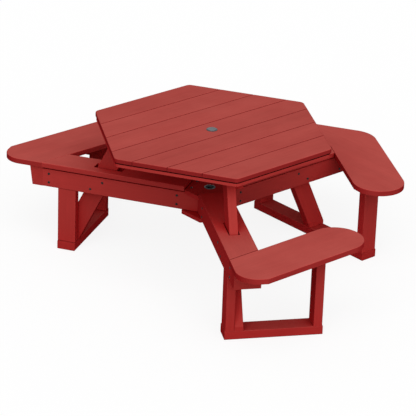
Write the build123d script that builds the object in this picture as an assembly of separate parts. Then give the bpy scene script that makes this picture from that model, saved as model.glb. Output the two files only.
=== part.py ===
from build123d import *
import os
from math import cos, radians, sin, sqrt, tan

# Hexagon picnic table of plastic lumber with an open side for a wheelchair.
# Millimetres, +Z up, floor at Z = 0. Three seat arms leave a hub at 0 (right), 120 (left) and
# 240 degrees (front). Each arm is drawn along +X: r is the distance from the hub axis, t runs
# across the arm. The front arm carries its bench on the +t side and the left arm is its mirror
# image, so the side between them stays open. The right arm carries a bench on both sides.

# Heights
table_height = 708
seat_height = 434

# Lumber: posts, rails, legs and bearers are one stock, seats are boards
stock_t = 41
stock_w = 89
stock_ease = 3
seat_t = 25
seat_ease = 3
drain_gap = 9

# Table top
hexagon_sides = 6
plank_count = 7
plank_w = 140
plank_t = 22
plank_gap = 3
plank_ease = 2
edge_ease = 4
corner_r = 30
rim_t = 18
rim_inset = 4
mitre_gap = 1

# Umbrella fittings
pole_bore = 40
ring_wall = 2.5
ring_flange = 52
ring_flange_t = 2
ring_fit = 0.5
plug_fit = 0.5
plug_cap = 43
plug_cap_t = 2
plug_stem = 18
rim_bevel = 1

# Hub plates
hub_t = 19
hub_arm_side = 97
hub_free_side = 114
hub_end_gap = 4
lower_hub_flats = 226
lower_hub_hole = 42

# Seat arms
arm_w = 146
spacer_in_r = 140
spacer_setback = 30
block_inset = 2
block_top = 66
block_bottom = 53
slot_side = 5
slot_out = 4
slot_in = 28

# Benches
bench_in = 670
bench_w = 245
bench_reach = 178
bench_end_cut = 74
bench_corner_r = 95
chevron_r = 125
seam_gap = 1.5

# Leg frames
frame_r = 645
frame_reach = 384
post_inset = 3
leg_lean = 26
cleat_h = 64
bearer_in_r = 70
bearer_gap = 2

# Screws: one size throughout
screw_d = 5
screw_len = 58
screw_head = 12
screw_head_t = 3
screw_fit = 0.3
screw_pitch = 44
leg_screw_edge = 24
leg_screw_side = 20
top_screw_drop = 34
top_screw_pitch = 30
hub_screw_r = 76
post_screw_drop = 30

# Levels and faces that follow from the sizes above
sixth = 360 / hexagon_sides
c30 = cos(radians(sixth / 2))
s30 = sin(radians(sixth / 2))
seat_under = seat_height - seat_t
rail_top = seat_under - drain_gap
rail_bottom = rail_top - stock_w
rail_mid_z = rail_top - stock_w / 2
rail_in = stock_t / 2
rail_out = rail_in + stock_t
rail_end_r = (bench_in + rail_out * s30) / c30 + block_inset
spacer_out_r = rail_end_r - spacer_setback
plank_under = table_height - plank_t
rim_bottom = plank_under - rim_t
hub_top = rail_top + hub_t
half_flats = (plank_count * plank_w + (plank_count - 1) * plank_gap) / 2
rim_out = half_flats - rim_inset
rim_in = rim_out - stock_w
ring_sleeve = pole_bore + 2 * ring_wall
ring_hole = ring_sleeve + 2 * ring_fit
plug_d = pole_bore - 2 * plug_fit
bench_out = bench_in + bench_w
bench_end_s = bench_reach - bench_w / 2
frame_out_r = frame_r + stock_w
post_out = frame_reach - post_inset
post_in = post_out - stock_t
arm_half = arm_w / 2
slot_half = stock_t / 2 + slot_side
leg_half = stock_w / 2 / cos(radians(leg_lean))
leg_foot_r = frame_r + leg_half
screw_hole = screw_d + 2 * screw_fit

# The row's origin is the middle of the footprint, so the hub axis sits off it in X
table_reach = half_flats / c30 - corner_r * (1 / c30 - 1)
chevron_c = (bench_out - chevron_r) / c30
hub_x = (table_reach - chevron_c - chevron_r) / 2

ARMS = ("right", "left", "front")
ARM_TURN = {"right": 0, "left": 2 * sixth, "front": 4 * sixth}
SIDES = {"open": -1, "bench": 1}


def prism(points, low, high):
    """An upright block on a plan outline."""
    return Pos(0, 0, low) * extrude(Polygon(*points, align=None), high - low, dir=(0, 0, 1))


def disc(diameter, low, high):
    return Pos(0, 0, low) * extrude(Circle(diameter / 2), high - low)


def span(r0, r1, t0, t1, z0, z1):
    """A plain block between two corners."""
    return Pos((r0 + r1) / 2, (t0 + t1) / 2, (z0 + z1) / 2) * Box(r1 - r0, t1 - t0, z1 - z0)


def bar_r(r0, r1, t0, t1, z0, z1):
    """Stock lying along the arm, long edges eased."""
    profile = Plane.YZ * RectangleRounded(t1 - t0, z1 - z0, stock_ease)
    return Pos(r0, (t0 + t1) / 2, (z0 + z1) / 2) * extrude(profile, r1 - r0)


def bar_t(r0, r1, t0, t1, z0, z1):
    """Stock lying across the arm, long edges eased."""
    profile = Plane.XZ * RectangleRounded(r1 - r0, z1 - z0, stock_ease)
    return Pos((r0 + r1) / 2, t0, (z0 + z1) / 2) * extrude(profile, t1 - t0, dir=(0, 1, 0))


def bar_z(r0, r1, t0, t1, z0, z1):
    """Stock standing up, long edges eased."""
    profile = RectangleRounded(r1 - r0, t1 - t0, stock_ease)
    return Pos((r0 + r1) / 2, (t0 + t1) / 2, z0) * extrude(profile, z1 - z0)


def place(shape, arm):
    """Turn a piece drawn along +X onto its arm; the left arm mirrors the front one."""
    if arm == "left":
        shape = mirror(shape, about=Plane.XZ)
    return Rot(0, 0, ARM_TURN[arm]) * shape


def save(shape, node):
    export_step(Pos(hub_x, 0, 0) * shape, "parts/" + node + ".step")


def screw_across(r, face_t, z, inward):
    """A screw lying across the arm, its head on the face at face_t."""
    turn = Rot(90 * inward, 0, 0)
    return Pos(r, face_t, z) * turn * screw_down()


def screw_down():
    """A screw with its head on Z = 0 and its shank below."""
    return disc(screw_head, 0, screw_head_t) + disc(screw_d, -screw_len, 0)


def hole_across(r, face_t, z, inward):
    turn = Rot(90 * inward, 0, 0)
    return Pos(r, face_t, z) * turn * disc(screw_hole, -screw_len - screw_fit, screw_fit)


def hole_down(r, t, z):
    return Pos(r, t, z) * disc(screw_hole, -screw_len - screw_fit, screw_fit)


# Where the screws of one arm go: (r, z) on both rails' outer faces
def rail_screw_spots():
    spots = []
    for r in (spacer_in_r, spacer_out_r):
        for step in (-1, 1):
            spots.append((r, rail_mid_z + step * screw_pitch / 2))
    low = rail_bottom + leg_screw_edge
    high = rail_top - leg_screw_edge
    spots.append((leg_r(low) + leg_screw_side, low))
    spots.append((leg_r(high) - leg_screw_side, high))
    return spots


def leg_r(z):
    """Distance of the leg's centre line from the hub axis at a height."""
    return leg_foot_r - (z - stock_t) * tan(radians(leg_lean))


def leg_top_spots():
    low = plank_under - top_screw_drop - top_screw_pitch
    return [(leg_r(low + step * top_screw_pitch), low + step * top_screw_pitch) for step in (0, 1)]


def arm_holes():
    """All cross holes of one arm, for rails, spacers and leg."""
    holes = []
    for r, z in rail_screw_spots():
        for side in SIDES.values():
            holes.append(hole_across(r, side * rail_out, z, side * -1))
    return holes


def cut_all(shape, tools):
    for tool in tools:
        shape = shape - tool
    return shape


# Table top
def top_outline():
    """The hexagon with rounded corners, corners on the arms."""
    hexagon = RegularPolygon(half_flats, hexagon_sides, major_radius=False, rotation=0)
    return fillet(hexagon.vertices(), corner_r)


def top_block():
    """The whole top as one layer, its outer edge rounded above and below."""
    layer = extrude(top_outline(), plank_t)
    levels = layer.edges().group_by(Axis.Z)
    layer = fillet(levels[0] + levels[-1], edge_ease)
    return Pos(0, 0, plank_under) * layer


def top_plank(index):
    """One plank with eased long edges, cut to the hexagon; the first and last run out past it."""
    pitch = plank_w + plank_gap
    mid = (index - (plank_count - 1) / 2) * pitch
    outer = (index == plank_count - 1) - (index == 0)
    width = plank_w + abs(outer) * plank_w
    profile = Plane.YZ * RectangleRounded(width, plank_t, plank_ease)
    length = 2 * half_flats / c30
    strip = extrude(profile, length)
    strip = Pos(-length / 2, mid + outer * plank_w / 2, plank_under + plank_t / 2) * strip
    plank = strip & top_block()
    if index == plank_count // 2:
        plank = plank - disc(ring_hole, plank_under, table_height)
    return plank


def rim_board(index):
    """One board of the frame under the plank ends, mitred to its neighbours."""
    gap = mitre_gap / 2 / c30
    inner = rim_in * tan(radians(sixth / 2)) - gap
    outer = rim_out * tan(radians(sixth / 2)) - gap
    board = prism([(rim_in, -inner), (rim_out, -outer), (rim_out, outer), (rim_in, inner)],
                  rim_bottom, plank_under)
    board = Rot(0, 0, sixth / 2 + index * sixth) * board
    layer = extrude(offset(top_outline(), -rim_inset), rim_t)
    layer = fillet(layer.edges().group_by(Axis.Z)[-1], edge_ease)
    board = board & (Pos(0, 0, rim_bottom) * layer)
    return cut_all(board, [place(leg_room(), arm) for arm in ARMS])


def leg_room():
    """Room round a leg's top that the boards under the plank ends keep clear of."""
    half = stock_t / 2 + bearer_gap
    inner = leg_r(plank_under) - leg_half - bearer_gap
    outer = leg_r(rim_bottom) + leg_half + bearer_gap
    return span(inner, outer, -half, half, rim_bottom, plank_under)


def top_bearer():
    """The bearer under the planks that the leg's top is screwed to."""
    end = (rim_in - rail_out * s30) / c30 - bearer_gap
    bearer = bar_r(bearer_in_r, end, rail_in, rail_out, plank_under - stock_w, plank_under)
    return cut_all(bearer, [hole_across(r, -rail_in, z, 1) for r, z in leg_top_spots()])


# Umbrella fittings
def ring(seat_z, depth):
    """A flanged sleeve let into a hole from above."""
    sleeve = disc(ring_sleeve, seat_z - depth, seat_z)
    flange = disc(ring_flange, seat_z, seat_z + ring_flange_t)
    flange = chamfer(flange.edges().sort_by(Axis.Z)[-1], rim_bevel)
    return sleeve + flange - disc(pole_bore, seat_z - depth, seat_z + ring_flange_t)


def plug():
    """The lift-out cap that closes the top ring."""
    low = table_height + ring_flange_t
    cap = disc(plug_cap, low, low + plug_cap_t)
    cap = chamfer(cap.edges().sort_by(Axis.Z)[-1], rim_bevel)
    return cap + disc(plug_d, low - plug_stem, low)


# Hub
def hub_outline():
    """Long sides across the arms, short sides between them."""
    half = (hub_free_side - hub_arm_side * s30) / c30
    points = []
    for arm in ARMS:
        for side in (-1, 1):
            point = Vector(hub_arm_side, side * half, 0).rotate(Axis.Z, ARM_TURN[arm])
            points.append((point.X, point.Y))
    return points


def hub_screw_spots():
    mid = (rail_in + rail_out) / 2
    spots = []
    for arm in ARMS:
        for side in (-1, 1):
            point = Vector(hub_screw_r, side * mid, 0).rotate(Axis.Z, ARM_TURN[arm])
            spots.append((point.X, point.Y))
    return spots


def hub_upper():
    plate = prism(hub_outline(), rail_top, hub_top) - disc(ring_hole, rail_top, hub_top)
    return cut_all(plate, [hole_down(x, y, hub_top) for x, y in hub_screw_spots()])


def hub_lower():
    half = lower_hub_flats / 2
    hexagon = RegularPolygon(half, hexagon_sides, major_radius=False, rotation=sixth / 2)
    plate = Pos(0, 0, rail_bottom - hub_t) * extrude(hexagon, hub_t)
    return plate - disc(lower_hub_hole, rail_bottom - hub_t, rail_bottom)


# Seat arms
def rail(side):
    """A rail on edge, its hub end cut so the six rails meet between the arms."""
    t0, t1 = sorted((side * rail_in, side * rail_out))
    board = bar_r(0, rail_end_r, t0, t1, rail_bottom, rail_top)
    along = Vector(s30, side * c30)
    away = Vector(-c30, side * s30)
    start = away * (-mitre_gap / 2)
    corners = [start - along * arm_w, start + along * arm_w,
               start + along * arm_w + away * arm_w, start - along * arm_w + away * arm_w]
    board = board - prism([(c.X, c.Y) for c in corners], rail_bottom, rail_top)
    board = cut_all(board, arm_holes())
    return board - hole_down(hub_screw_r, side * (rail_in + rail_out) / 2, hub_top)


def spacer(mid_r):
    """A block between the rails that stands proud of them and carries the arm's plank."""
    half = stock_t / 2
    block = span(mid_r - half, mid_r + half, -rail_in, rail_in, rail_bottom, seat_under)
    return cut_all(block, arm_holes())


def end_block():
    """The block across the rail ends under the bench, its outer face sloped."""
    profile = [(rail_end_r, rail_bottom), (rail_end_r + block_bottom, rail_bottom),
               (rail_end_r + block_top, seat_under), (rail_end_r, seat_under)]
    face = Plane.XZ * Polygon(*profile, align=None)
    return Pos(0, -rail_out, 0) * extrude(face, 2 * rail_out, dir=(0, 1, 0))


def arm_plank(both):
    """The walk-over plank of an arm: mitred to its bench, slotted for the leg."""
    start = hub_arm_side + hub_end_gap
    seam = bench_in - seam_gap
    near = (seam - arm_half * s30) / c30
    far = (seam + arm_half * s30) / c30
    if both:
        points = [(start, -arm_half), (near, -arm_half), (seam / c30, 0), (near, arm_half),
                  (start, arm_half)]
    else:
        points = [(start, -arm_half), (far, -arm_half), (near, arm_half), (start, arm_half)]
    plank = prism(points, seat_under, seat_height)
    plank = fillet(plank.edges().filter_by(Axis.X), seat_ease)
    slot0 = leg_r(seat_height) - leg_half - slot_in
    slot1 = leg_r(seat_under) + leg_half + slot_out
    return plank - span(slot0, slot1, -slot_half, slot_half, seat_under, seat_height)


def leg():
    """The leaning leg: flat on its foot rail, between the rails, flat under the planks."""
    reach = table_height / cos(radians(leg_lean))
    board = extrude(RectangleRounded(stock_w, stock_t, stock_ease), reach, both=True)
    board = Pos(leg_foot_r, 0, stock_t) * Rot(0, -leg_lean, 0) * board
    keep = span(0, frame_out_r, -stock_t, stock_t, stock_t, plank_under)
    board = cut_all(board & keep, arm_holes())
    return cut_all(board, [hole_across(r, -rail_in, z, 1) for r, z in leg_top_spots()])


# Benches, in the bench's own directions: d out from the hub, s along towards the free end
def bench_point(d, s):
    return (d * c30 - s * s30, d * s30 + s * c30)


def arm_line_s(d, t):
    """Where the line at t beside the arm crosses the bench at distance d."""
    return (t - d * s30) / c30


def bench(both):
    """A bench with round free ends: one on one side of the arm, or a chevron over both sides."""
    mid = (bench_in + bench_out) / 2
    free_in = bench_point(bench_in, bench_end_s)
    free_out = bench_point(bench_out, bench_end_s)
    end = ThreePointArc(free_in, bench_point(mid, bench_reach), free_out)
    if both:
        inner = bench_point(bench_in, arm_line_s(bench_in, 0))
        foot = bench_point(bench_out, -chevron_c * s30)
        tip = (chevron_c + chevron_r, 0)
        half_way = (chevron_c + chevron_r * cos(radians(sixth / 4)), chevron_r * sin(radians(sixth / 4)))
        line = end + Line(free_out, foot) + ThreePointArc(foot, half_way, tip)
        line = line + Line(tip, inner) + Line(inner, free_in)
        half = make_face(line)
        outline = half + mirror(half, about=Plane.XZ)
    else:
        inner = bench_point(bench_in, arm_line_s(bench_in, -arm_half))
        end_r = bench_point(bench_out, arm_line_s(bench_out, -arm_half))[0] - bench_end_cut
        corner = (end_r, -arm_half)
        bend = (end_r, bench_end_cut * c30 / s30 - arm_half)
        line = end + Polyline(free_out, bend, corner, inner, free_in)
        outline = make_face(line)
        sharp = outline.vertices().sort_by_distance((corner[0], corner[1], 0))[0]
        outline = fillet(sharp, bench_corner_r)
    board = extrude(outline, seat_t, dir=(0, 0, 1))
    board = fillet(board.edges().group_by(Axis.Z)[-1], seat_ease)
    return Pos(0, 0, seat_under) * board


# Leg frames
def foot_rail(both):
    low = -frame_reach if both else -rail_out - post_inset
    return bar_t(frame_r, frame_out_r, low, frame_reach, 0, stock_t)


def arm_post():
    return bar_z(frame_r, frame_out_r, -rail_out, -rail_in, stock_t, rail_bottom)


def post_screw_z():
    return seat_under - post_screw_drop


def bench_post():
    post = bar_z(frame_r, frame_out_r, post_in, post_out, stock_t, seat_under)
    return post - hole_across((frame_r + frame_out_r) / 2, post_out, post_screw_z(), -1)


def bench_cleat():
    """The block inside a bench post's top that the bench is held by."""
    block = span(frame_r, frame_out_r, post_in - stock_t, post_in, seat_under - cleat_h, seat_under)
    return block - hole_across((frame_r + frame_out_r) / 2, post_out, post_screw_z(), -1)


def flip(shape):
    return mirror(shape, about=Plane.XZ)


def screws():
    """Every screw of the table, as one group of separate solids."""
    found = [Pos(x, y, hub_top) * screw_down() for x, y in hub_screw_spots()]
    post_screw = screw_across((frame_r + frame_out_r) / 2, post_out, post_screw_z(), -1)
    for arm in ARMS:
        local = [post_screw]
        if arm == "right":
            local.append(flip(post_screw))
        for r, z in rail_screw_spots():
            for side in SIDES.values():
                local.append(screw_across(r, side * rail_out, z, side * -1))
        for r, z in leg_top_spots():
            local.append(screw_across(r, -rail_in, z, 1))
        found = found + [place(screw, arm) for screw in local]
    return found[0] + found[1:]


os.makedirs("parts", exist_ok=True)

for number in range(plank_count):
    save(top_plank(number), "top_plank_" + str(number + 1))
for number in range(hexagon_sides):
    save(rim_board(number), "top_rim_" + str(number + 1))
save(ring(table_height, plank_t), "umbrella_ring_top")
save(plug(), "umbrella_plug")
save(ring(hub_top, hub_t), "umbrella_ring_hub")
save(hub_upper(), "hub_plate_upper")
save(hub_lower(), "hub_plate_lower")

for arm in ARMS:
    double = arm == "right"
    save(place(top_bearer(), arm), "top_bearer_" + arm)
    for name, side in SIDES.items():
        save(place(rail(side), arm), "arm_rail_" + arm + "_" + name)
    save(place(spacer(spacer_in_r), arm), "arm_spacer_inner_" + arm)
    save(place(spacer(spacer_out_r), arm), "arm_spacer_outer_" + arm)
    save(place(end_block(), arm), "arm_end_block_" + arm)
    save(place(arm_plank(double), arm), "arm_plank_" + arm)
    save(place(leg(), arm), "leg_" + arm)
    save(place(foot_rail(double), arm), "foot_rail_" + arm)
    if double:
        save(bench(double), "bench_right")
        save(bench_post(), "bench_post_right_far")
        save(flip(bench_post()), "bench_post_right_near")
        save(bench_cleat(), "bench_cleat_right_far")
        save(flip(bench_cleat()), "bench_cleat_right_near")
    else:
        save(place(bench(double), arm), "bench_" + arm)
        save(place(bench_post(), arm), "bench_post_" + arm)
        save(place(bench_cleat(), arm), "bench_cleat_" + arm)
        save(place(arm_post(), arm), "arm_post_" + arm)

save(screws(), "screws")
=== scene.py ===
import math
import random

import bmesh
import bpy
import numpy as np
from mathutils import Matrix, Vector


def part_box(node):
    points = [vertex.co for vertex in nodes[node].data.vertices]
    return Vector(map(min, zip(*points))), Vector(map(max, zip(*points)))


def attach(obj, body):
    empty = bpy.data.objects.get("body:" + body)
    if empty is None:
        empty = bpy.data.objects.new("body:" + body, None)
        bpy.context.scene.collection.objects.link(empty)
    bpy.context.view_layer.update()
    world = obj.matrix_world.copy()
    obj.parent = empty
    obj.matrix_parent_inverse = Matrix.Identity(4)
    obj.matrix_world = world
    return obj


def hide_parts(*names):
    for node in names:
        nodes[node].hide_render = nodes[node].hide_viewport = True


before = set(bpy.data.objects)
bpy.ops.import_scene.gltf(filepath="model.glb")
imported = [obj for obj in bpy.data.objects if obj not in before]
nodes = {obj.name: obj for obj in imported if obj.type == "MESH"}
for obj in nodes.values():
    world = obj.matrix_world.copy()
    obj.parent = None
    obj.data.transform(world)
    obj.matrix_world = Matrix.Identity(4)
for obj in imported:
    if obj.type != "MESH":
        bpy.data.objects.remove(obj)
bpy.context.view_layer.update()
draw = random.Random(7)


def level_way(degrees):
    """A level unit vector, turned this far round from +X."""
    turn = math.radians(degrees)
    return Vector((math.cos(turn), math.sin(turn), 0))


# The hub's axis; in degrees, how far each arm is turned round it, how far a leg leans from upright and how
# much of the circle each side of the hexagon takes; and the side the light comes from, to which faces are
# painted paler
ring_low, ring_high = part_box("umbrella_ring_hub")
hub = Vector(((ring_low.x + ring_high.x) / 2, (ring_low.y + ring_high.y) / 2, 0))
ARM_TURN = {"right": 0, "left": 120, "front": 240}
LEG_LEAN = 26
SIXTH = 60
LIT_SIDE = level_way(238)

# Colours, linear. Boards: lit, on the side the light comes from; in painted shade, turned away from it; in
# painted deep shade, in shelter; and with a painted sheen, under the open sky
LIT_RED = (0.392, 0.0345, 0.0305, 1)
SHADED_RED = (0.425, 0.0200, 0.0205, 1)
DEEP_SHADE_RED = (0.410, 0.0100, 0.0110, 1)
SKY_SHEEN_RED = (0.430, 0.0760, 0.0640, 1)
# A board's rubbed edges, paler partly from wear and partly as a painted highlight; the tint of sawn ends,
# partly their own and partly painted shade; and the painted shade of its sides, joints, the top's groove and
# seams
RUB_AND_HIGHLIGHT = (0.50, 0.12, 0.10, 1)
SAWN_AND_SHADE_TINT = (0.84, 0.74, 0.74, 1)
SIDE_SHADE_TINT = (0.68, 0.52, 0.58, 1)
JOINT_SHADE = (0.10, 0.05, 0.05, 1)
GROOVE_SHADE = (0.03, 0.015, 0.015, 1)
SEAM_SHADE = (0.30, 0.25, 0.25, 1)
# Fittings, with the colour of their rims, paler partly from wear and partly as a painted highlight; floor and
# sky
GREY = (0.030, 0.035, 0.037, 1)
PALE_GREY = (0.086, 0.089, 0.098, 1)
RUB_AND_HIGHLIGHT_GREY = (0.20, 0.20, 0.21, 1)
SCREW = (0.008, 0.0105, 0.0105, 1)
FLOOR_SEEN = (0.15, 0.15, 0.15, 1)
FLOOR_BOUNCE = (0.25, 0.25, 0.25, 1)
WHITE = (1, 1, 1, 1)

# Lengths in metres: a board's and a fitting's rubbed edge (wear and painted highlight), how near a board has
# to be to shelter a face or to give a joint painted shade, and between which heights over a seam its painted
# shade fades in
BOARD_RUB_HIGHLIGHT, FITTING_RUB_HIGHLIGHT = 0.004, 0.0015
SHELTER_REACH, JOINT_SHADE_REACH = 0.45, 0.014
SEAM_FROM, SEAM_TO = 0.005, 0.002
# Streaks are this much longer than wide, and each board's pattern is shifted by up to this much
STREAK_STRETCH, PATTERN_SHIFT = 16, 9
# Nearly all of a noise lies between these values
NOISE_RANGE = (0.3, 0.7)

# Where an effect on a surface begins and where it is full. By the face's normal: its share along the board,
# to the side the light comes from, upward, and up or down
SAWN = (0.55, 0.8)
TOWARD_LIT_SIDE = (0.5, 0.85)
SKYWARD = (0.3, 0.95)
SIDEWAYS = (0.9, 0.5)
OFF_FLAT = (0.98, 0.94)
# By how open the face lies
SUNLIT = (0.4, 0.8)
SHELTERED = (0.62, 0.30)
SHUT_IN = (0.62, 0.20)
# By the cosine between the rounded normal and the true one, on boards and on fittings
RUBBED_HIGHLIT_EDGE, RUBBED_HIGHLIT_RIM = (0.995, 0.86), (0.995, 0.8)
# By the cloudy noise, for wear that comes in patches
PATCHY = (0.42, 0.66)
# How strong an effect is where it is full
RUB_HIGHLIGHT_SHARE, SAWN_AND_SHADE_SHARE, JOINT_SHADE_SHARE, SEAM_SHADE_SHARE, RIM_HIGHLIGHT_SHARE = 0.10, 0.5, 0.92, 0.75, 0.18
SAWN_ROUGHER = 0.16
# How weak the rubbed-edge lightening and the painted sheen are where they are least
RUB_HIGHLIGHT_LEAST, SHEEN_LEAST = 0.25, 0.88
# How far boards differ in tone, and how far streaks, bands and clouds change it within a board
BOARD_SHADES = (0.98, 1.02)
STREAK_TONE, BAND_TONE, CLOUD_TONE = 0.045, 0.04, 0.04
# A board's roughness along its streaks, and what the distance to a speck adds to it
BOARD_ROUGH = (0.48, 0.58)
SPECK_SPAN, SPECK_ROUGH = (0.0, 0.6), (0.05, -0.03)

# Boards unlike the rest: what is added to their tone, a painted light or shade for how light falls on them,
# and how much painted shade their sides get
BOARD_PAINTED_LIGHT = {
    "top_plank": (0.0, 1.0),
    "arm_plank": (0.07, 0.4),
    "bench_left": (0.07, 0.7),
    "bench_right": (0.10, 0.7),
    "bench_front": (0.10, 0.7),
    "leg_left": (-0.15, 0.0),
    "leg_right": (0.10, 0.0),
}
# The normal's rise where painted shade begins and is full in the groove between the top's two layers
GROOVE_LIPS = {"top_plank": (-0.25, -0.45), "top_rim": (0.03, 0.12)}
# Posts with a painted shade line where they stand on their foot rail
SEAM_POSTS = ("arm_post_left", "bench_post_left")
FITTINGS = ("umbrella_ring_top", "umbrella_ring_hub", "umbrella_plug", "screws")


def feed(entry, source):
    """Joins a socket to a node's input, or sets the input to a value."""
    if isinstance(source, bpy.types.NodeSocket):
        entry.id_data.links.new(source, entry)
    else:
        entry.default_value = source


def node_maker(tree):
    """Clears a node tree and gives the function that adds a node to it, with its values and inputs."""
    tree.nodes.clear()

    def add(kind, inputs=None, **values):
        n = tree.nodes.new("ShaderNode" + kind)
        for key, value in values.items():
            if hasattr(n, key):
                setattr(n, key, value)
            else:
                n.inputs[key.replace("_", " ")].default_value = value
        for key, source in (inputs or {}).items():
            feed(n.inputs[key], source)
        return n

    return add


def material(name):
    """A node material with its shader, and the function that adds nodes to it."""
    m = bpy.data.materials.new(name)
    m.use_nodes = True
    add = node_maker(m.node_tree)
    shader = add("BsdfPrincipled")
    add("OutputMaterial", {0: shader.outputs[0]})
    return m, shader, add


def ramp(add, source, low, high, to_low, to_high):
    return add("MapRange", {"Value": source}, clamp=True, From_Min=low, From_Max=high,
               To_Min=to_low, To_Max=to_high).outputs[0]


def reach(add, source, begins, full):
    """0 where an effect begins, 1 where it is full."""
    return ramp(add, source, begins, full, 0.0, 1.0)


def vary(add, noise_value, low, high):
    """A noise brought into a range."""
    return ramp(add, noise_value, *NOISE_RANGE, low, high)


def maths(add, kind, *values):
    return add("Math", dict(enumerate(values)), operation=kind).outputs[0]


def dot(add, a, b):
    return add("VectorMath", {0: a, 1: b}, operation="DOT_PRODUCT").outputs["Value"]


def noise(add, at, scale, detail, roughness):
    return add("TexNoise", {"Vector": at}, Scale=scale, Detail=detail, Roughness=roughness).outputs["Fac"]


def openness(add, distance, samples):
    """1 where nothing stands near a face, less where something does."""
    return add("AmbientOcclusion", samples=samples, Distance=distance).outputs["AO"]


def blend(add, kind, factor, a, b):
    """A colour mix; the factor is a socket, the colours are sockets or values."""
    return add("Mix", {0: factor, 6: a, 7: b}, data_type="RGBA", blend_type=kind).outputs[2]


def relief(add, height, strength, distance, under=None):
    """A normal bumped by a height, on top of another bump where there is one."""
    inputs = {"Height": height}
    if under is not None:
        inputs["Normal"] = under
    return add("Bump", inputs, Strength=strength, Distance=distance).outputs[0]


def lumber(name, along, shade, painted_side_shade, groove, seam):
    """Moulded plastic board: streaks along its length, a fine pebble skin, sawn ends and rubbed edges, with
    painted light, shade and highlights in its colour.
    """
    m, shader, add = material(name)
    place = add("TexCoord").outputs["Object"]
    shift = Vector([draw.uniform(-PATTERN_SHIFT, PATTERN_SHIFT) for _ in range(3)])
    turn = along.to_track_quat("X", "Z").to_euler()
    lengthwise = add("Mapping", {"Vector": place}, vector_type="TEXTURE", Location=shift, Rotation=turn,
                     Scale=(STREAK_STRETCH, 1, 1)).outputs[0]
    streaks = noise(add, lengthwise, scale=120.0, detail=5.0, roughness=0.62)
    bands = noise(add, lengthwise, scale=14.0, detail=3.0, roughness=0.5)
    cloud = noise(add, place, scale=5.0, detail=4.0, roughness=0.55)
    pebble = noise(add, place, scale=620.0, detail=2.0, roughness=0.6)
    specks = add("TexVoronoi", {"Vector": place}, Scale=260.0, feature="F1").outputs["Distance"]
    normal = add("NewGeometry").outputs["Normal"]
    rise = add("SeparateXYZ", {0: normal}).outputs["Z"]
    level = maths(add, "ABSOLUTE", rise)

    # Ends that were sawn: where the surface faces along the board
    end = reach(add, maths(add, "ABSOLUTE", dot(add, normal, along)), *SAWN)
    saw = add("TexWave", {"Vector": place}, wave_type="BANDS", bands_direction="Z", Scale=150.0,
              Distortion=3.0, Detail=2.0).outputs["Fac"]

    # Edges that hands and weather rub, paler partly from that wear and partly as a painted highlight: where
    # the rounded normal leaves the true one
    rounded = add("Bevel", samples=4, Radius=BOARD_RUB_HIGHLIGHT).outputs[0]
    edge = reach(add, dot(add, rounded, normal), *RUBBED_HIGHLIT_EDGE)
    rub_highlight = maths(add, "MULTIPLY", edge, ramp(add, cloud, *PATCHY, RUB_HIGHLIGHT_LEAST, 1.0))

    # Tone, which for some boards also carries painted light or shade
    tone = vary(add, streaks, -STREAK_TONE, STREAK_TONE)
    tone = maths(add, "ADD", tone, vary(add, bands, -BAND_TONE, BAND_TONE))
    tone = maths(add, "ADD", tone, vary(add, cloud, -CLOUD_TONE, CLOUD_TONE))
    tone = maths(add, "ADD", tone, shade)
    # Faces turned to the sky get a painted sheen, a paler red, unless the top shelters them
    wide_open = openness(add, SHELTER_REACH, samples=4)
    sheen = maths(add, "MULTIPLY", reach(add, rise, *SKYWARD), vary(add, cloud, SHEEN_LEAST, 1.0))
    sheen = maths(add, "MULTIPLY", sheen, reach(add, wide_open, *SUNLIT))
    # Painted light and shade: faces turned to the side the light comes from are paler than faces turned away
    # from it, and sheltered faces are painted a deep shade red
    colour = blend(add, "MIX", reach(add, dot(add, normal, LIT_SIDE), *TOWARD_LIT_SIDE), SHADED_RED, LIT_RED)
    colour = blend(add, "MIX", reach(add, wide_open, *SHELTERED), colour, DEEP_SHADE_RED)
    colour = blend(add, "MIX", sheen, colour, SKY_SHEEN_RED)
    colour = add("HueSaturation", {"Value": tone, "Color": colour}).outputs[0]
    # Rubbed edges are paler, partly from wear and partly as a painted highlight
    colour = blend(add, "MIX", maths(add, "MULTIPLY", rub_highlight, RUB_HIGHLIGHT_SHARE), colour, RUB_AND_HIGHLIGHT)
    # Sawn ends are darker, partly their own tint and partly painted shade
    colour = blend(add, "MULTIPLY", maths(add, "MULTIPLY", end, SAWN_AND_SHADE_SHARE), colour, SAWN_AND_SHADE_TINT)
    # Painted shade: the sides are darker than the flat faces, more on some boards than others
    colour = blend(add, "MULTIPLY", ramp(add, level, *SIDEWAYS, 0.0, painted_side_shade), colour, SIDE_SHADE_TINT)
    # Painted shade in joints and behind edges, where nearby boards close a face in
    joint_shade = ramp(add, openness(add, JOINT_SHADE_REACH, samples=8), *SHUT_IN, 0.0, JOINT_SHADE_SHARE)
    colour = blend(add, "MULTIPLY", joint_shade, colour, JOINT_SHADE)
    # The rounded edges of the top's two layers meet in a groove, painted dark as its shade; flat faces are
    # left out
    if groove:
        lip = maths(add, "MULTIPLY", reach(add, rise, *groove), reach(add, level, *OFF_FLAT))
        colour = blend(add, "MULTIPLY", lip, colour, GROOVE_SHADE)
    # A thin painted shade line where a post stands on its foot rail
    if seam is not None:
        height = add("SeparateXYZ", {0: place}).outputs["Z"]
        line = ramp(add, height, seam + SEAM_FROM, seam + SEAM_TO, 0.0, SEAM_SHADE_SHARE)
        colour = blend(add, "MULTIPLY", line, colour, SEAM_SHADE)
    feed(shader.inputs["Base Color"], colour)

    # Roughness. There is no mirror part, which would grey the deep shade
    rough = maths(add, "ADD", vary(add, streaks, *BOARD_ROUGH), ramp(add, specks, *SPECK_SPAN, *SPECK_ROUGH))
    rough = maths(add, "ADD", rough, maths(add, "MULTIPLY", end, SAWN_ROUGHER))
    feed(shader.inputs["Roughness"], rough)
    feed(shader.inputs["IOR"], 1.5)
    feed(shader.inputs["Specular IOR Level"], 0.0)

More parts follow.
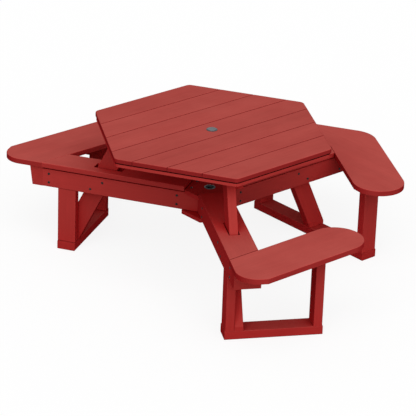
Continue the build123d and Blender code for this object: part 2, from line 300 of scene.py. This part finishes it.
    # Relief: saw marks, streaks, then the pebble skin
    bumped = relief(add, maths(add, "MULTIPLY", saw, end), strength=0.35, distance=0.0004)
    bumped = relief(add, streaks, strength=0.30, distance=0.0005, under=bumped)
    bumped = relief(add, pebble, strength=0.22, distance=0.00025, under=bumped)
    feed(shader.inputs["Normal"], bumped)
    return m


def moulded(name, colour, rough, grain):
    """Injection moulded fitting: fine spark-eroded skin, flow marks, and rims paler partly from wear and
    partly as a painted highlight.
    """
    m, shader, add = material(name)
    place = add("TexCoord").outputs["Object"]
    cloud = noise(add, place, scale=60.0, detail=4.0, roughness=0.6)
    skin = noise(add, place, scale=grain, detail=2.0, roughness=0.65)
    normal = add("NewGeometry").outputs["Normal"]
    rounded = add("Bevel", samples=4, Radius=FITTING_RUB_HIGHLIGHT).outputs[0]
    # Rims paler partly from wear and partly as a painted highlight
    edge = ramp(add, dot(add, rounded, normal), *RUBBED_HIGHLIT_RIM, 0.0, RIM_HIGHLIGHT_SHARE)
    body = add("HueSaturation", {"Value": vary(add, cloud, 0.88, 1.12)}, Color=colour).outputs[0]
    feed(shader.inputs["Base Color"], blend(add, "MIX", edge, body, RUB_AND_HIGHLIGHT_GREY))
    feed(shader.inputs["Roughness"], vary(add, cloud, rough - 0.06, rough + 0.08))
    feed(shader.inputs["Normal"], relief(add, skin, strength=0.3, distance=0.00012))
    return m


def coated_steel(name):
    """Screw steel with a dark weather coat, patchy in tone."""
    m, shader, add = material(name)
    place = add("TexCoord").outputs["Object"]
    cloud = noise(add, place, scale=400.0, detail=4.0, roughness=0.6)
    fine = noise(add, place, scale=2600.0, detail=2.0, roughness=0.6)
    body = add("HueSaturation", {"Value": vary(add, cloud, 0.75, 1.25)}, Color=SCREW).outputs[0]
    feed(shader.inputs["Base Color"], body)
    feed(shader.inputs["Roughness"], vary(add, cloud, 0.36, 0.55))
    feed(shader.inputs["Metallic"], 0.25)
    feed(shader.inputs["Specular IOR Level"], 0.25)
    feed(shader.inputs["Normal"], relief(add, fine, strength=0.25, distance=0.00005))
    return m


def length_of(name):
    """The way a board's length runs."""
    arm = next((a for a in ARM_TURN if a in name), "right")
    out = level_way(ARM_TURN[arm])
    across = Vector((-out.y, out.x, 0))
    if name.startswith("top_rim"):
        low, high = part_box(name)
        middle = (low + high) / 2 - hub
        # Square to the middle of the board's sixth of the circle
        sixth = math.floor(math.degrees(math.atan2(middle.y, middle.x)) / SIXTH)
        return level_way(SIXTH * (sixth + 0.5) + 90)
    if name.startswith("leg_"):
        lean = math.radians(LEG_LEAN)
        return Vector((0, 0, math.cos(lean))) - out * math.sin(lean)
    if "post" in name:
        return Vector((0, 0, 1))
    if name in ("bench_left", "bench_front"):
        return Vector((1, 0, 0))
    if name == "bench_right":
        return Vector((0, 1, 0))
    if name.startswith(("bench_cleat", "foot_rail", "arm_end_block")):
        return across
    return out


def listed(table, name, default):
    """The entry of a table whose key a node's name begins with."""
    return next((entry for key, entry in table.items() if name.startswith(key)), default)


def dress(name, made):
    """Gives a CAD node its material."""
    slots = nodes[name].data.materials
    slots.clear()
    slots.append(made)


for name in sorted(nodes):
    if name not in FITTINGS:
        shade = draw.uniform(*BOARD_SHADES)
        # Some boards get painted light or shade added to their tone, and painted shade on their sides
        tone, painted_side_shade = listed(BOARD_PAINTED_LIGHT, name, (0.0, 0.0))
        groove = listed(GROOVE_LIPS, name, None)
        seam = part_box(name)[0].z if name in SEAM_POSTS else None
        dress(name, lumber("lumber_" + name, length_of(name), shade + tone, painted_side_shade, groove, seam))
ring_grey = moulded("ring_grey", GREY, rough=0.5, grain=2400.0)
dress("umbrella_ring_top", ring_grey)
dress("umbrella_ring_hub", ring_grey)
dress("umbrella_plug", moulded("plug_grey", PALE_GREY, rough=0.48, grain=2000.0))
steel = coated_steel("coated_steel")
dress("screws", steel)


# Screws. Profiles are shares: the head's of its radius and height, from the rim in, and the shank's of its
# radius and length, from the head to the tip
HEAD_SIDES = 24
HEAD_PROFILE = ((1.0, 0.0), (1.0, 0.22), (0.97, 0.36), (0.88, 0.58), (0.76, 0.78), (0.62, 0.92), (0.54, 0.97))
SOCKET_LOBES = 6
SOCKET_RADIUS, SOCKET_WAVE = 0.40, 0.075
SOCKET_HEIGHTS = (0.97, 0.90, 0.30)
SHANK_PROFILE = ((1.0, 0.0), (1.0, -0.86), (0.12, -1.0))
SHANK_OF_HEAD = 0.5
# Points further out than this share of the head's radius belong to the head
HEAD_FROM = 0.8
SAME_POINT = 1e-6


def islands(mesh):
    """The points of each separate solid in a mesh."""
    bm = bmesh.new()
    bm.from_mesh(mesh)
    bmesh.ops.remove_doubles(bm, verts=bm.verts, dist=SAME_POINT)
    left = set(bm.verts)
    found = []
    while left:
        grow = [left.pop()]
        part = []
        while grow:
            v = grow.pop()
            part.append(tuple(v.co))
            for e in v.link_edges:
                w = e.other_vert(v)
                if w in left:
                    left.remove(w)
                    grow.append(w)
        found.append(np.array(part))
    bm.free()
    return sorted(found, key=lambda p: tuple(np.round(p.mean(0), 4)))


def head_rings(radius, height):
    """Radii and height of each ring of a head with a lobed socket, from its rim in to the socket's floor."""
    dome = [([radius * r] * HEAD_SIDES, height * z) for r, z in HEAD_PROFILE]
    lobes = [radius * (SOCKET_RADIUS + SOCKET_WAVE * math.cos(SOCKET_LOBES * 2 * math.pi * i / HEAD_SIDES))
             for i in range(HEAD_SIDES)]
    return dome + [(lobes, height * z) for z in SOCKET_HEIGHTS]


def screw_mesh(bm, base, axis, radius, height, length, shank):
    """One screw: its head on the surface at base, and its shank going in."""
    turn = Vector(axis).normalized().to_track_quat("Z", "Y").to_matrix()
    twist = Matrix.Rotation(draw.uniform(0, math.pi / 3), 3, "Z")

    def ring(radii, z, spin):
        made = []
        for i, r in enumerate(radii):
            a = 2 * math.pi * i / HEAD_SIDES
            point = Vector((r * math.cos(a), r * math.sin(a), z))
            made.append(bm.verts.new(Vector(base) + turn @ (spin @ point)))
        return made

    head = [ring(radii, z, twist) for radii, z in head_rings(radius, height)]
    stem = [ring([shank * r] * HEAD_SIDES, length * z, Matrix.Identity(3)) for r, z in SHANK_PROFILE]
    rows = stem[::-1] + head
    for a, b in zip(rows, rows[1:]):
        for i in range(HEAD_SIDES):
            j = (i + 1) % HEAD_SIDES
            bm.faces.new((a[i], a[j], b[j], b[i]))
    bm.faces.new(rows[-1])
    bm.faces.new(rows[0][::-1])


def screw_heads():
    """Screws with driver sockets, standing where the CAD screws stand."""
    bm = bmesh.new()
    for points in islands(nodes["screws"].data):
        centre = points.mean(0)
        axis = np.linalg.eigh(np.cov((points - centre).T))[1][:, 2]
        run = (points - centre) @ axis
        off = np.linalg.norm((points - centre) - np.outer(run, axis), axis=1)
        # The axis points out of the head, which is the widest part
        if run[np.argmax(off)] < 0:
            axis, run = -axis, -run
        widest = off.max()
        seat = run[off > HEAD_FROM * widest].min()
        screw_mesh(bm, centre + axis * seat, axis, widest, run.max() - seat, seat - run.min(),
                   SHANK_OF_HEAD * widest)
    mesh = bpy.data.meshes.new("screw_set")
    bm.to_mesh(mesh)
    bm.free()
    piece = bpy.data.objects.new("screw_set", mesh)
    bpy.context.scene.collection.objects.link(piece)
    mesh.materials.append(steel)
    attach(piece, "table")
    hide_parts("screws")


screw_heads()

# Floor and light. The floor lies a little under the feet, so that the two don't share a plane
FLOOR_HALF, FLOOR_DROP = 40, 0.0003
FLOOR_LIFT = 0.86
SKY_LIGHT = 0.42
LAMP_AWAY = 6
corners = [(FLOOR_HALF * x, FLOOR_HALF * y, -FLOOR_DROP) for x, y in ((-1, -1), (1, -1), (1, 1), (-1, 1))]
floor_mesh = bpy.data.meshes.new("floor")
floor_mesh.from_pydata(corners, [], [(0, 1, 2, 3)])
floor = bpy.data.objects.new("floor", floor_mesh)
bpy.context.scene.collection.objects.link(floor)


def plain_ray(add):
    """1 for rays that show the background as it is: from the camera, a mirror or glass."""
    rays = add("LightPath").outputs
    seen = maths(add, "MAXIMUM", rays["Is Camera Ray"], rays["Is Glossy Ray"])
    return maths(add, "MAXIMUM", seen, rays["Is Transmission Ray"])


def floor_paint():
    """Nearly white where it is seen, with a faint shadow, and dull grey for the light it throws back."""
    m = bpy.data.materials.new("floor_paint")
    m.use_nodes = True
    add = node_maker(m.node_tree)
    pale = add("BsdfDiffuse", Color=FLOOR_SEEN)
    lift = add("Emission", Strength=FLOOR_LIFT)
    seen = add("AddShader", {0: pale.outputs[0], 1: lift.outputs[0]})
    dull = add("BsdfDiffuse", Color=FLOOR_BOUNCE)
    mix = add("MixShader", {0: plain_ray(add), 1: dull.outputs[0], 2: seen.outputs[0]})
    add("OutputMaterial", {0: mix.outputs[0]})
    return m


def studio():
    """A world that is white where it is seen and lights the table softly from all round."""
    world = bpy.data.worlds.new("studio")
    world.use_nodes = True
    add = node_maker(world.node_tree)
    sky = add("Background", Color=WHITE, Strength=SKY_LIGHT)
    white = add("Background", Color=WHITE, Strength=1.0)
    either = add("MixShader", {0: plain_ray(add), 1: sky.outputs[0], 2: white.outputs[0]})
    add("OutputWorld", {0: either.outputs[0]})
    return world


def sun(name, azimuth, elevation, strength, spread):
    lamp = bpy.data.lights.new(name, "SUN")
    lamp.energy = strength
    lamp.angle = math.radians(spread)
    o = bpy.data.objects.new(name, lamp)
    e = math.radians(elevation)
    way = level_way(azimuth) * math.cos(e) + Vector((0, 0, math.sin(e)))
    o.rotation_mode = "QUATERNION"
    o.rotation_quaternion = way.to_track_quat("Z", "Y")
    o.location = hub + way * LAMP_AWAY
    bpy.context.scene.collection.objects.link(o)


floor_mesh.materials.append(floor_paint())
bpy.context.scene.world = studio()
sun("key", azimuth=232, elevation=38, strength=2.52, spread=80)

# Camera, fitted to the photo: turn and rise of the view and its roll in degrees, the focal length in pixels
# of a 416 pixel frame, and the point looked at, from the hub's foot, with the distance from it in metres
CAM_TURN, CAM_RISE, CAM_ROLL = 228.10, 24.08, 2.06
CAM_FOCAL, FRAME_PIXELS = 2441.48, 416
CAM_TARGET = Vector((0.35830, 0.40689, 0.07031))
CAM_AWAY = 11.97461
SENSOR_WIDTH = 36
CAM_SEES_TO = 200
rise, roll = math.radians(CAM_RISE), math.radians(CAM_ROLL)
back = level_way(CAM_TURN) * math.cos(rise) + Vector((0, 0, math.sin(rise)))
right = Vector((0, 0, 1)).cross(back).normalized()
up = back.cross(right)
side = right * math.cos(roll) + up * math.sin(roll)
top = up * math.cos(roll) - right * math.sin(roll)
lens = bpy.data.cameras.new("camera")
lens.sensor_width = SENSOR_WIDTH
lens.lens = CAM_FOCAL / FRAME_PIXELS * SENSOR_WIDTH
lens.clip_end = CAM_SEES_TO
camera = bpy.data.objects.new("camera", lens)
camera.matrix_world = Matrix((side, top, back)).transposed().to_4x4()
camera.location = hub + CAM_TARGET + back * CAM_AWAY
bpy.context.scene.collection.objects.link(camera)
bpy.context.scene.camera = camera

bpy.context.scene.view_settings.view_transform = "Standard"
